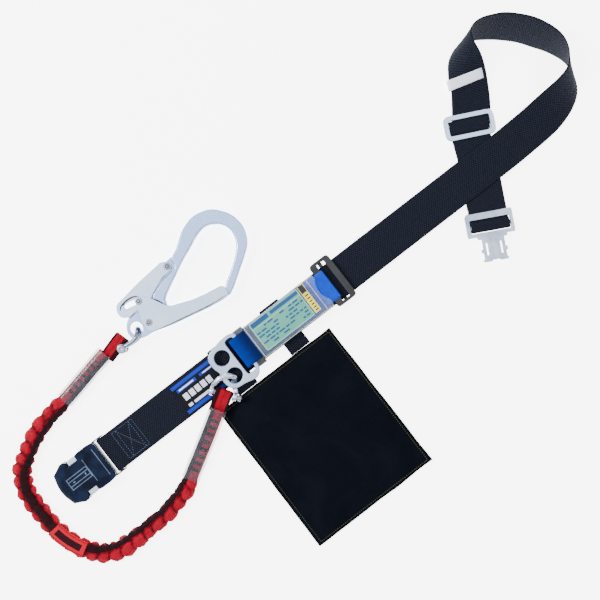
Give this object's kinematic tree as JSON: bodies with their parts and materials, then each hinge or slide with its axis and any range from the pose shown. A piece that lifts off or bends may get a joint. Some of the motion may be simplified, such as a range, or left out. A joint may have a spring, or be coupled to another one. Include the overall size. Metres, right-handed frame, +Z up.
{
  "type": "shock absorbing lanyard",
  "caption": "Waist belt with a wrap-around safety lanyard: elastic webbing, tear-webbing absorber pack, large snap hook, side-release buckle and a flat pouch.",
  "frame": {"origin": "on the ground under the middle of the outline of all rigid pieces, which is the whole object without the free lanyard", "axes": "+X along the waist belt from the female buckle to the turned-over end, +Y across the belt towards the hook, +Z up from the ground it lies on"},
  "size_m": [0.8995, 0.4352, 0.0492],
  "materials": {
    "belt_fabric": "dark navy-black heavy woven strap, ribbed",
    "label_fabric": "woven label, black with blue edge stripes and plain light blocks",
    "smoke_plastic": "smoke blue translucent buckle plastic",
    "polished_steel": "bright plated steel",
    "zinc_steel": "mottled zinc plated sheet steel",
    "aluminium_alloy": "satin pale grey alloy",
    "white_plastic": "white plastic",
    "black_plastic": "glossy black",
    "blue_fabric": "blue woven webbing",
    "clear_plastic": "clear flexible vinyl",
    "green_card": "pale green printed card with plain blocks",
    "yellow_strip": "yellow and black strip",
    "grey_fabric": "grey webbing",
    "red_fabric": "bright red webbing",
    "rubber_core": "dark elastic core",
    "pouch_fabric": "black coated nylon"
  },
  "bodies": {
    "waist_belt": {"belt_webbing": "belt_fabric", "belt_label": "label_fabric", "female_buckle_lower_shell": "smoke_plastic", "female_buckle_upper_shell": "smoke_plastic", "female_buckle_latch_plate": "polished_steel", "release_spring_left": "polished_steel", "release_spring_right": "polished_steel", "male_buckle_frame": "zinc_steel", "male_buckle_bar": "zinc_steel", "white_belt_keeper": "white_plastic"},
    "release_button_left": {"release_button_left": "polished_steel"},
    "release_button_right": {"release_button_right": "polished_steel"},
    "silver_slide": {"silver_belt_slide": "aluminium_alloy"},
    "absorber_pack": {"black_belt_slide": "black_plastic", "absorber_tear_webbing": "blue_fabric", "absorber_clear_cover": "clear_plastic", "absorber_label_card": "green_card", "absorber_indicator_strip": "yellow_strip", "absorber_belt_keeper": "grey_fabric"},
    "connector": {"connector_plate": "polished_steel"},
    "lower_shackle": {"lower_shackle_bow": "polished_steel", "lower_shackle_pin": "polished_steel"},
    "lanyard": {"lanyard_elastic_webbing": "red_fabric", "lanyard_elastic_core": "rubber_core", "lanyard_lower_sleeve": "clear_plastic", "lanyard_upper_sleeve": "clear_plastic", "lanyard_lower_eye": "red_fabric", "lanyard_upper_eye": "red_fabric", "lanyard_woven_patch": "red_fabric"},
    "upper_shackle": {"upper_shackle_bow": "polished_steel", "upper_shackle_pin": "polished_steel"},
    "hook": {"hook_body": "aluminium_alloy", "hook_gate_pivot_rivet": "polished_steel", "hook_lever_pivot_rivet": "polished_steel"},
    "gate": {"hook_gate": "aluminium_alloy", "hook_gate_lock_pin": "polished_steel"},
    "lock_lever": {"hook_lock_lever": "aluminium_alloy"},
    "pouch_straps": {"pouch_strap_left": "pouch_fabric", "pouch_strap_right": "pouch_fabric"},
    "pouch": {"pouch_bag": "pouch_fabric"}
  },
  "joints": [
    {"name": "release_left", "type": "slide", "parent": "waist_belt", "child": "release_button_left", "axis": [0, -1, 0], "range_m": [0, 0.003], "stiffness_N_per_m": 900, "springref_m": -0.001, "deforming": ["release_spring_left"]},
    {"name": "release_right", "type": "slide", "parent": "waist_belt", "child": "release_button_right", "axis": [0, 1, 0], "range_m": [0, 0.003], "stiffness_N_per_m": 900, "springref_m": -0.001, "deforming": ["release_spring_right"]},
    {"name": "silver_slide_adjust", "type": "slide", "parent": "waist_belt", "child": "silver_slide", "axis": [-0.4695, -0.8829, 0], "range_m": [-0.002, 0.001]},
    {"name": "absorber_slide", "type": "slide", "parent": "waist_belt", "child": "absorber_pack", "axis": [1, 0, 0], "range_m": [-0.006, 0.01]},
    {"name": "connector_tilt", "type": "hinge", "parent": "absorber_pack", "child": "connector", "pos_m": [-0.12886, 0.04339, 0.015], "axis": [0, 1, 0], "range_deg": [0, 13]},
    {"name": "lower_shackle_swing", "type": "hinge", "parent": "connector", "child": "lower_shackle", "pos_m": [-0.17216, 0.02459, 0.015], "axis": [0, 1, 0], "range_deg": [0, 8]},
    {"name": "lanyard_lower_hinge", "type": "hinge", "parent": "lower_shackle", "child": "lanyard", "pos_m": [-0.18466, 0.01439, 0.0125], "axis": [0.6088, -0.7934, 0], "range_deg": [-25, 0]},
    {"name": "lanyard_upper_swivel", "type": "hinge", "parent": "lanyard", "child": "upper_shackle", "pos_m": [-0.25166, 0.13939, 0.011], "axis": [0, 0, 1], "range_deg": [-8, 30]},
    {"name": "hook_eye_swing", "type": "hinge", "parent": "upper_shackle", "child": "hook", "pos_m": [-0.22106, 0.14919, 0.011], "axis": [0, 0, 1], "range_deg": [-6, 15]},
    {"name": "gate_pivot", "type": "hinge", "parent": "hook", "child": "gate", "pos_m": [-0.20366, 0.14489, 0.011], "axis": [0, 0, 1], "range_deg": [0, 30], "stiffness_Nm_per_rad": 0.3, "springref_deg": -17.19},
    {"name": "lock_lever_pivot", "type": "hinge", "parent": "hook", "child": "lock_lever", "pos_m": [-0.14216, 0.18739, 0.011], "axis": [0, 0, 1], "range_deg": [0, 4.7], "stiffness_Nm_per_rad": 0.2, "springref_deg": -5.73},
    {"name": "pouch_slide", "type": "slide", "parent": "waist_belt", "child": "pouch_straps", "axis": [1, 0, 0], "range_m": [-0.003, 0.005]},
    {"name": "pouch_fold", "type": "hinge", "parent": "pouch_straps", "child": "pouch", "pos_m": [-0.11416, -0.00091, 0.003], "axis": [1, 0, 0], "range_deg": [-4, 35]}
  ],
  "couplings": [
    {"joint": "lock_lever_pivot", "follows": "gate_pivot", "ratio": 0.15}
  ]
}
